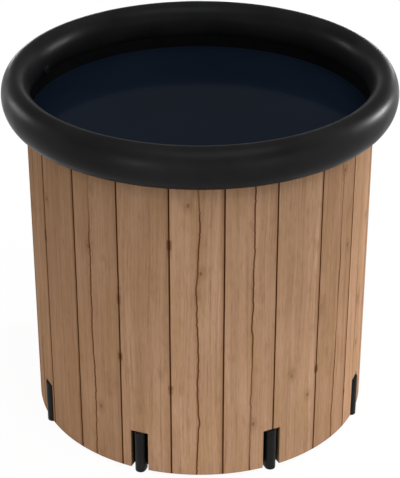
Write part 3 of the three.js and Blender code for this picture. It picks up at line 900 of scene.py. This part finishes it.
# %% [markdown]
# ## Inflation valve
# The ring is blown up through a push-in valve on its inner side: a seat welded into the skin, a
# stem that pulls out to be used, and a rubber plug with a strap joined on. All three are turned and
# set on the ring's oval by its own rule: a point on the oval and the direction square to it there.

# %% Valve place
VALVE_ANGLE = math.radians(-112.5)
VALVE_TILT = math.radians(-160)
outward = around(1, VALVE_ANGLE, 0)
upward = Vector((0, 0, 1))
valve_spot = outward * (RING_RADIUS + RING_HALF_WIDTH * math.cos(VALVE_TILT))
valve_spot.z = RING_Z + RING_HALF_HEIGHT * math.sin(VALVE_TILT)
valve_axis = (outward * (math.cos(VALVE_TILT) / RING_HALF_WIDTH)
              + upward * (math.sin(VALVE_TILT) / RING_HALF_HEIGHT))
valve_axis.normalize()
along_ring = upward.cross(outward)
across_ring = valve_axis.cross(along_ring)
valve_turn = Matrix((along_ring, across_ring, valve_axis)).transposed().to_4x4()
ON_RING = Matrix.Translation(valve_spot) @ valve_turn
print("valve at", [round(x, 4) for x in valve_spot])

# %% Valve seat and stem
SEAT_BORE, SEAT_RADIUS, SEAT_LIP_RADIUS = 0.0075, 0.0087, 0.011
SEAT_END, SEAT_LIP_LOW, SEAT_LIP_HIGH, SEAT_EDGE = -0.02, 0.0007, 0.0019, 0.0005
STEM_BORE, STEM_RADIUS, STEM_LIP_RADIUS = 0.005, 0.007, 0.0095
STEM_END, STEM_LIP_LOW, STEM_LIP_HIGH, STEM_EDGE = -0.017, 0.0022, 0.0032, 0.0004
seat = [(SEAT_BORE, SEAT_END), (SEAT_RADIUS, SEAT_END), (SEAT_RADIUS, SEAT_LIP_LOW),
        (SEAT_LIP_RADIUS, SEAT_LIP_LOW), (SEAT_LIP_RADIUS, SEAT_LIP_HIGH), (SEAT_BORE, SEAT_LIP_HIGH)]
stem = [(STEM_BORE, STEM_END), (STEM_RADIUS, STEM_END), (STEM_RADIUS, STEM_LIP_LOW),
        (STEM_LIP_RADIUS, STEM_LIP_LOW), (STEM_LIP_RADIUS, STEM_LIP_HIGH), (STEM_BORE, STEM_LIP_HIGH)]
valve_seat = turned_piece("valve_seat", seat, fitting_plastic, SEAT_EDGE, 3, place=ON_RING)
dress(valve_seat, "tub_body", "black_plastic", "valve_base")
valve_tube = turned_piece("valve_tube", stem, fitting_plastic, STEM_EDGE, 3, place=ON_RING)
dress(valve_tube, "valve_stem", "black_plastic", "valve_stem")

# %% Valve plug and strap
PLUG_END, PLUG_RADIUS, PLUG_EDGE = -0.0008, 0.0036, 0.0004
HEAD_LOW, HEAD_HIGH, HEAD_RADIUS = 0.0035, 0.0055, 0.008
DISH_RADIUS, DISH_FLOOR_RADIUS, DISH_FLOOR = 0.0055, 0.005, HEAD_HIGH - 0.0006
STRAP_LENGTH, STRAP_HALF, STRAP_SHEET = 0.0115, 0.005 / 2, 0.001
STRAP_ROOT = HEAD_RADIUS * 0.9
plug = [(0, PLUG_END), (PLUG_RADIUS, PLUG_END), (PLUG_RADIUS, HEAD_LOW), (HEAD_RADIUS, HEAD_LOW),
        (HEAD_RADIUS, HEAD_HIGH), (DISH_RADIUS, HEAD_HIGH), (DISH_FLOOR_RADIUS, DISH_FLOOR),
        (0, DISH_FLOOR)]


def flat_strap():
    """The strap beside the plug's head, with the corners of its free end cut off."""
    bm = bmesh.new()
    middle = (HEAD_LOW + HEAD_HIGH) / 2
    shoulder = STRAP_LENGTH - STRAP_HALF / 2
    outline = [(STRAP_ROOT, -STRAP_HALF), (shoulder, -STRAP_HALF), (STRAP_LENGTH, -STRAP_HALF / 2),
               (STRAP_LENGTH, STRAP_HALF / 2), (shoulder, STRAP_HALF), (STRAP_ROOT, STRAP_HALF)]
    rows = []
    for z in (middle - STRAP_SHEET / 2, middle + STRAP_SHEET / 2):
        rows.append([bm.verts.new((x, y, z)) for x, y in outline])
    bm.faces.new(reversed(rows[0]))
    bm.faces.new(rows[1])
    for k in range(len(outline)):
        n = (k + 1) % len(outline)
        bm.faces.new([rows[0][k], rows[0][n], rows[1][n], rows[1][k]])
    bmesh.ops.transform(bm, matrix=ON_RING, verts=bm.verts)
    return bm


valve_cap = turned_piece("valve_stopper", plug, soft_rubber, PLUG_EDGE, 3, place=ON_RING)
shaped(valve_cap, piece("strap", flat_strap(), soft_rubber), "UNION")
valve_cap.data.set_sharp_from_angle(angle=SHARP_ANGLE)
dress(valve_cap, "valve_plug", "black_rubber", "valve_plug")

# %% [markdown]
# ## Drain
# The tub empties at the back through a flanged spout clamped in the wall by a nut. A screw cap with
# a seal closes it outside and a rubber stopper inside. The turned pieces follow their CAD outlines
# with moulded edges. The thread and the cap's grip ribs repeat by a rule, so Geometry Nodes make
# them: a spiral swept with a small round section, and one rib set at each point of a circle.

# %% Drain body
DRAIN_STEPS = 64
DRAIN_BORE, DRAIN_RADIUS = 0.010, 0.015
SPOUT_EDGE = 0.0008
FLANGE_IN, SPOUT_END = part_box("drain_body")[0].y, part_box("drain_body")[1].y
FLANGE_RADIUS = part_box("drain_body")[1].x
FLANGE_OUT = FLANGE_IN + 0.0033
flanged = [(DRAIN_BORE, FLANGE_IN), (FLANGE_RADIUS, FLANGE_IN), (FLANGE_RADIUS, FLANGE_OUT),
           (DRAIN_RADIUS, FLANGE_OUT), (DRAIN_RADIUS, SPOUT_END), (DRAIN_BORE, SPOUT_END)]
spout = turned_piece("drain_spout", flanged, fitting_plastic, SPOUT_EDGE, 4, DRAIN_STEPS, TO_BACK)
dress(spout, "tub_body", "black_plastic", "drain_body")

# %% Gasket
GASKET_EDGE = 0.0006
gasket_low, gasket_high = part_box("drain_gasket")
washer = [(DRAIN_HOLE, gasket_low.y), (gasket_high.x, gasket_low.y),
          (gasket_high.x, gasket_high.y), (DRAIN_HOLE, gasket_high.y)]
gasket = turned_piece("drain_washer", washer, soft_rubber, GASKET_EDGE, 3, DRAIN_STEPS, TO_BACK)
dress(gasket, "tub_body", "black_rubber", "drain_gasket")

# %% Lock nut
NUT_SIDES, NUT_EDGE, NUT_ANGLE = 6, 0.0007, 40
nut_low, nut_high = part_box("drain_nut")
nut_corner = (nut_high.x - nut_low.x) / 2 / math.cos(math.pi / NUT_SIDES)
block = [(0, nut_low.y), (nut_corner, nut_low.y), (nut_corner, nut_high.y), (0, nut_high.y)]
lay_flat = TO_BACK @ Matrix.Rotation(math.pi / NUT_SIDES, 4, "Z")
nut = piece("drain_lock_nut", turned(block, NUT_SIDES, False, lay_flat), fitting_plastic)
eased(pierce(nut), NUT_EDGE, NUT_ANGLE)
dress(nut, "tub_body", "black_plastic", "drain_nut")

# %% Cap seal
SEAL_EDGE = 0.0005
seal_low, seal_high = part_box("drain_cap_seal")
disc = [(0, seal_low.y), (seal_high.x, seal_low.y), (seal_high.x, seal_high.y), (0, seal_high.y)]
seal = turned_piece("cap_seal", disc, soft_rubber, SEAL_EDGE, 3, DRAIN_STEPS, TO_BACK)
dress(seal, "drain_cap_seal", "black_rubber", "drain_cap_seal")

# %% Stopper
BUNG_EDGE = 0.0012
KNOB_RADIUS, NECK_RADIUS = 0.008, 0.004
BUNG_ROOT, BUNG_TIP = 0.0095, 0.009
bung_low, bung_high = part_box("drain_stopper")
knob_end = bung_low.y + 0.005
brim_out = FLANGE_IN - 0.0003
brim_in = brim_out - 0.004
bung = [(0, bung_low.y), (KNOB_RADIUS, bung_low.y), (KNOB_RADIUS, knob_end), (NECK_RADIUS, knob_end),
        (NECK_RADIUS, brim_in), (bung_high.x, brim_in), (bung_high.x, brim_out),
        (BUNG_ROOT, brim_out), (BUNG_TIP, bung_high.y), (0, bung_high.y)]
stopper = turned_piece("drain_bung", bung, soft_rubber, BUNG_EDGE, 4, DRAIN_STEPS, TO_BACK)
dress(stopper, "drain_stopper", "black_rubber", "drain_stopper")

# %% Spout thread
THREAD_LEAD = 0.006
THREAD_RIDGE = 0.0006
THREAD_LENGTH = 0.015
THREAD_SINK = 0.0001
THREAD_START = SPOUT_END - THREAD_LENGTH - 0.001


def spiral_thread(tree, sizes):
    turns = calc(tree, "DIVIDE", sizes["Length"], sizes["Lead"])
    helix = add(tree, "GeometryNodeCurveSpiral", {
        "Resolution": 64, "Rotations": turns, "Start Radius": sizes["Radius"],
        "End Radius": sizes["Radius"], "Height": sizes["Length"]})
    section = add(tree, "GeometryNodeCurvePrimitiveCircle",
                  {"Resolution": 10, "Radius": sizes["Ridge"]})
    ridge = add(tree, "GeometryNodeCurveToMesh", {
        "Curve": helix.outputs[0], "Profile Curve": section.outputs[0], "Fill Caps": True})
    return ridge.outputs[0]


thread_sizes = {"Radius": (LENGTH, DRAIN_RADIUS - THREAD_SINK), "Length": (LENGTH, THREAD_LENGTH),
                "Lead": (LENGTH, THREAD_LEAD), "Ridge": (LENGTH, THREAD_RIDGE)}
thread = node_piece("spout_thread", thread_sizes, spiral_thread, fitting_plastic)
thread.data.transform(TO_BACK @ Matrix.Translation((0, 0, THREAD_START)))
dress(thread, "tub_body", "black_plastic")

# %% Screw cap
cup_low, cup_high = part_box("drain_cap")
CUP_STEPS, CUP_EDGE, CUP_BORE = 72, 0.001, 0.0158
RIB_RISE = 0.0008
CUP_RADIUS = (cup_high.x - cup_low.x) / 2 - RIB_RISE
CUP_FLOOR = cup_high.y - 0.003
cup = [(0, CUP_FLOOR), (CUP_BORE, CUP_FLOOR), (CUP_BORE, cup_low.y), (CUP_RADIUS, cup_low.y),
       (CUP_RADIUS, cup_high.y), (0, cup_high.y)]
screw_cap = turned_piece("screw_cap", cup, fitting_plastic, CUP_EDGE, 4, CUP_STEPS, TO_BACK)
dress(screw_cap, "drain_cap", "black_plastic", "drain_cap")

# %% Grip ribs
RIB_COUNT, RIB_RADIUS = 12, 0.0016
RIB_LENGTH = cup_high.y - cup_low.y - 0.004


def grip_ribs(tree, sizes):
    circle = add(tree, "GeometryNodeMeshCircle",
                 {"Vertices": sizes["Count"], "Radius": sizes["Radius"]})
    rib = add(tree, "GeometryNodeMeshCylinder",
              {"Vertices": 16, "Radius": sizes["Rib"], "Depth": sizes["Length"]})
    return add(tree, "GeometryNodeInstanceOnPoints",
               {"Points": circle.outputs[0], "Instance": rib.outputs[0]}).outputs[0]


rib_sizes = {"Count": (COUNT, RIB_COUNT), "Radius": (LENGTH, CUP_RADIUS + RIB_RISE - RIB_RADIUS),
             "Rib": (LENGTH, RIB_RADIUS), "Length": (LENGTH, RIB_LENGTH)}
ribs = node_piece("cap_grip_ribs", rib_sizes, grip_ribs, fitting_plastic)
ribs.data.transform(TO_BACK @ Matrix.Translation((0, 0, (cup_low.y + cup_high.y) / 2)))
dress(ribs, "drain_cap", "black_plastic")

# %% [markdown]
# ## Camera and floor
# The camera stands in front, a little left of the tub's middle line and about 29 degrees above it.
# The floor is a wide pale disc. Most of what is seen of it is plain white, so that the picture has
# a clean ground, and the rest is lit as usual, so that the tub keeps its shadow.

# %% Camera
AIM = Vector((0, 0, 0.3587))
DISTANCE = 3.4191
ELEVATION = math.radians(28.774)
AZIMUTH = math.radians(-2)
lens = bpy.data.cameras.new("camera")
lens.lens = 122.2
lens.sensor_width = 36
camera = bpy.data.objects.new("camera", lens)
bpy.context.collection.objects.link(camera)
back = Vector((math.sin(AZIMUTH) * math.cos(ELEVATION), -math.cos(AZIMUTH) * math.cos(ELEVATION),
               math.sin(ELEVATION)))
camera.location = AIM + back * DISTANCE
camera.rotation_euler = (-back).to_track_quat("-Z", "Y").to_euler()
bpy.context.scene.camera = camera
print("camera at", [round(x, 3) for x in camera.location])

# %% Floor
FLOOR_RADIUS = 14
FLOOR_DROP = 0.0005
FLOOR_TONE = 0.86
FLOOR_WHITE = 0.94


def pale_floor():
    material, tree, skin = finish("pale_floor", 0.9, 0.0)
    skin.inputs["Base Color"].default_value = (FLOOR_TONE, FLOOR_TONE, FLOOR_TONE, 1)
    rays = add(tree, "ShaderNodeLightPath").outputs
    seen = calc(tree, "MAXIMUM", rays["Is Camera Ray"], rays["Is Glossy Ray"])
    seen = calc(tree, "MAXIMUM", seen, rays["Is Transmission Ray"])
    white = add(tree, "ShaderNodeEmission", {"Color": (1, 1, 1, 1), "Strength": 1.0})
    inputs = {0: times(tree, seen, FLOOR_WHITE), 1: skin.outputs[0], 2: white.outputs[0]}
    both = add(tree, "ShaderNodeMixShader", inputs)
    tree.links.new(both.outputs[0], tree.nodes["Material Output"].inputs["Surface"])
    return material


floor = piece("floor", turned([(0, 0), (FLOOR_RADIUS, 0)], 96, loop=False), pale_floor())
floor.location.z = -FLOOR_DROP
print("floor", 2 * FLOOR_RADIUS, "m across")

# %% [markdown]
# ## Light
# The soft highlights on the ring tell where the lamps stood: right and left, slightly behind the
# tub. Two wide lamps in front light the planks from both sides and leave the ring's middle dark, a
# large one hangs high, and a low one stands behind. The room glows at the horizon and overhead, as
# a white studio does.

# %% Room
scene = bpy.context.scene
scene.view_settings.view_transform = "Standard"
world = bpy.data.worlds.new("studio")
scene.world = world
world.use_nodes = True
sky = world.node_tree
way = add(sky, "ShaderNodeTexCoord").outputs["Generated"]
rise = add(sky, "ShaderNodeSeparateXYZ", {0: way}).outputs[2]
walls = step(sky, rise, 0.02, 0.42, 1.0, 0.2)
ceiling = step(sky, rise, 0.5, 0.85, 0.0, 0.7)
sky_light = sky.nodes["Background"]
sky_light.inputs["Color"].default_value = (1, 1, 1, 1)
sky.links.new(plus(sky, walls, ceiling), sky_light.inputs["Strength"])
print("room", world.name)


# %% Lamps
def soft_lamp(name, place, width, height, power):
    data = bpy.data.lights.new(name, "AREA")
    data.shape = "RECTANGLE"
    data.size = width
    data.size_y = height
    data.energy = power
    lamp = bpy.data.objects.new(name, data)
    bpy.context.collection.objects.link(lamp)
    lamp.location = place
    lamp.visible_camera = False
    lamp.rotation_euler = (AIM - Vector(place)).to_track_quat("-Z", "Y").to_euler()
    print(name, power, "W")


soft_lamp("right_lamp", (3.0, 0.7, 1.55), 0.5, 1.0, 14)
soft_lamp("right_low_lamp", (2.95, 1.15, 0.92), 0.4, 0.3, 84)
soft_lamp("left_lamp", (-2.8, 1.5, 1.0), 0.7, 0.7, 26)
soft_lamp("front_left_lamp", (-2.1, -3.1, 0.65), 1.0, 0.9, 25)
soft_lamp("front_right_lamp", (2.0, -3.3, 0.8), 1.8, 1.4, 22)
soft_lamp("high_lamp", (0.6, -2.3, 4.2), 3.6, 2.4, 90)
soft_lamp("back_lamp", (0.3, 3.8, 0.36), 4.0, 0.6, 42)
